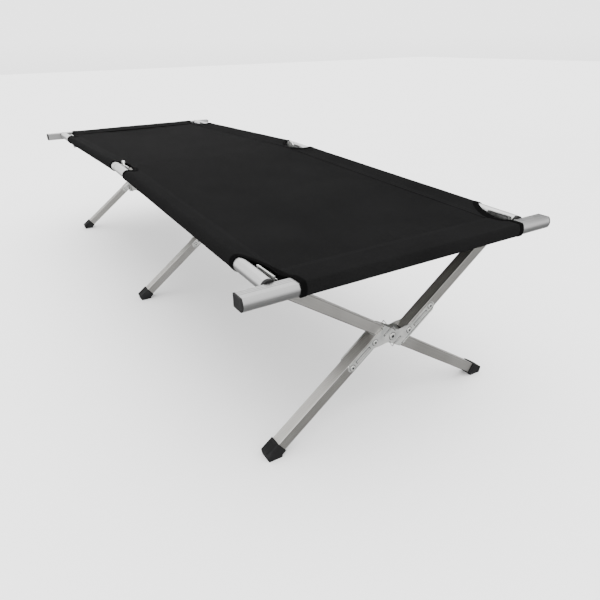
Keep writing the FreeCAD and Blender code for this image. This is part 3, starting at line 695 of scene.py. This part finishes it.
def side_sleeve(side, half):
    s = -1 if side == "left" else 1
    rows = 66

    def place(i, j):
        start, stop = lap_ends(section[i][0], half)
        y = start + (stop - start) * j / (rows - 1)
        return on_sleeve(section_run[i], y, s)[0], (section_run[i], y)

    made = cloth_grid(f"side_sleeve_{side}_{half}", len(section), rows, place)
    cut = flat_cut(made)
    finish_cloth(made, sleeve_cloth, cloth_thick, away_from_rail(s))
    return made, cut


binding_cloth = oxford_cloth("binding_cloth", False, 0.4)
binding_width = 0.011
binding_thick = 0.0026
past_seam = 0.0004          # a notch's edge starts beyond this distance from the hinge line
binding_rows = (-cloth_off, 0.0035, 0.0075, binding_width)      # inwards from the cut edge


def side_binding(side, half, end):
    """A folded tape round a cut edge of a sleeve; its width is laid off square to the cut on flat cloth."""
    s = -1 if side == "left" else 1
    h = -1 if half == "front" else 1
    samples = 90
    total = section_run[-1]
    path = []
    for step in range(samples + 1):
        run = total * step / samples
        inwards = on_sleeve(run, 0.0, s)[1]
        start, stop = lap_ends(inwards, half)
        if end == "notch" and inwards <= notch_in * 0.999 and h * start > past_seam:
            path.append((run, start, 1))
        if end == "corner" and inwards <= corner_in * 0.999:
            path.append((run, stop, -1))
    points = []
    for k, (run, y, inside) in enumerate(path):
        before, after = path[max(0, k - 1)], path[min(len(path) - 1, k + 1)]
        along = Vector((after[0] - before[0], after[1] - before[1])).normalized()
        normal = Vector((along.y, -along.x))
        if normal.y * h * inside < 0:
            normal = -normal
        points.append((run, y, normal))

    def place(i, j):
        run, y, normal = points[i]
        run = min(total, max(0.0, run + normal.x * binding_rows[j]))
        y = h * max(seam_gap, h * (y + normal.y * binding_rows[j]))
        return on_sleeve(run, y, s)[0], (run, y)

    made = cloth_grid(f"{end}_binding_{side}_{half}", len(points), len(binding_rows), place)
    finish_cloth(made, binding_cloth, binding_thick, away_from_rail(s))
    return made


for side in sides:
    for half in halves:
        body = f"rail_{side}_{half}"
        sleeve, (width, length, area) = side_sleeve(side, half)
        bound = [side_binding(side, half, end) for end in ("notch", "corner")]
        for made in [sleeve] + bound:
            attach(made, body)


# ---- Cover: end sleeves ----
# Each end of the cover is turned over its end bar in a second sleeve. Its flap slopes from the bar's top
# to the panel, held there by two rows of stitches. Its short edges are bound.
bar_low, bar_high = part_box("end_bar_front")
bar_back_y = -bar_high.y
bar_depth = bar_high.y - bar_low.y
bar_shoulder = 0.84         # share of the bar's depth where its face starts to curve
bar_top = bar_high.z
bar_mid_z = (bar_low.z + bar_high.z) / 2
bar_half_height = (bar_high.z - bar_low.z) / 2
flap_y = 0.872
flap_half_width = rail_x - corner_in
end_left, end_right = -0.259, 0.276
flap_off, under_off = 0.0019, 0.0018    # the flap above the panel's cloth, and the lower lap below it
bar_edge_in = 0.003
crease_rows = range(3, 18)      # creases run from the flap to the bar's face
flap_blend = 0.018          # the sleeve's side edges run out to their place on the bar over this length


def end_section():
    """From the flap's edge, over the bar and back under the panel: (y, z), y counted outwards."""
    nose_steps = 14
    shoulder = bar_back_y + bar_shoulder * bar_depth
    nose = (1.0 - bar_shoulder) * bar_depth
    start = (flap_y, rail_height(flap_y) + panel_rise + flap_off)
    ridge = (bar_back_y + bar_edge_in, bar_top + cloth_off)
    points = between(start, ridge, (0.0, 0.08, 0.16, 0.26, 0.36, 0.48, 0.6, 0.72, 0.84, 0.94, 1.0))
    points.append((shoulder - 0.006, bar_top + cloth_off))
    for step in range(nose_steps + 1):
        turn = math.pi * step / nose_steps
        bulge = math.sin(turn) ** 0.9 if 0 < step < nose_steps else 0.0
        points.append((shoulder + (nose + cloth_off) * bulge,
                       bar_mid_z + (bar_half_height + cloth_off) * math.cos(turn)))
    bar_under = bar_mid_z - bar_half_height
    points += [(y, bar_under - cloth_off) for y in (bar_back_y + bar_edge_in, bar_back_y - 0.0002)]
    under = (flap_y + 0.004, rail_height(flap_y) + panel_rise - under_off)
    edge = (bar_back_y - cloth_off, bar_under + 0.002)
    return points + between(edge, under, (0.0, 0.25, 0.5, 0.75, 1.0))


end_points = end_section()
end_run = runs_to(end_points)


def end_edge(share, y):
    """Side of the end sleeve: in line with the corner's cut on the flap, then out to its edge on the bar."""
    on_bar = end_left if share < 0 else end_right
    t = min(1.0, max(0.0, (y - panel_end_y) / flap_blend))
    blend = 3 * t * t - 2 * t * t * t
    return math.copysign(flap_half_width, share) * (1.0 - blend) + on_bar * blend


def end_piece(name, half, across, material, thickness):
    """Part of an end sleeve; across gives columns as (side or share of the width, metres inwards)."""
    h = -1 if half == "front" else 1

    def place(i, j):
        y, z = end_points[j]
        share, metres = across[i]
        x = abs(share) * end_edge(share, y) - math.copysign(metres, share)
        crease = 0.0012 * noise.noise((x * 22.0 + y * 30.0, end_run[j] * 36.0, 5.1 + h))
        lift = crease if j in crease_rows else 0.0
        return (x, h * (y + lift * 0.4), z + max(-0.0003, lift)), (end_run[j], x)

    made = cloth_grid(name, len(across), len(end_points), place)
    cut = flat_cut(made)

    def outwards(c):
        if abs(c.y) < bar_back_y:
            return Vector((0, 0, c.z - rail_height(abs(c.y)) - panel_rise))
        return Vector((0, c.y - h * (bar_back_y + bar_depth / 2), c.z - bar_mid_z))

    finish_cloth(made, material, thickness, outwards)
    return made, cut


end_columns = [(-1.0, 0.0), (-1.0, 0.005), (-1.0, binding_width)]
end_columns += [(share / 40, 0.0) for share in range(-37, 38)]
end_columns += [(1.0, binding_width), (1.0, 0.005), (1.0, 0.0)]
for half in halves:
    sleeve, (width, length, area) = end_piece(f"end_sleeve_cloth_{half}", half, end_columns,
                                              sleeve_cloth, cloth_thick)
    bound = []
    for side, s in (("left", -1.0), ("right", 1.0)):
        columns = [(s, inwards) for inwards in binding_rows]
        strip, _ = end_piece(f"end_binding_{side}_{half}", half, columns, binding_cloth, binding_thick)
        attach(strip, f"end_bar_{half}")
        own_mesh(strip)
        bound.append(strip)
    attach(sleeve, f"end_bar_{half}")
    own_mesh(sleeve)
    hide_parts(f"end_sleeve_{half}")
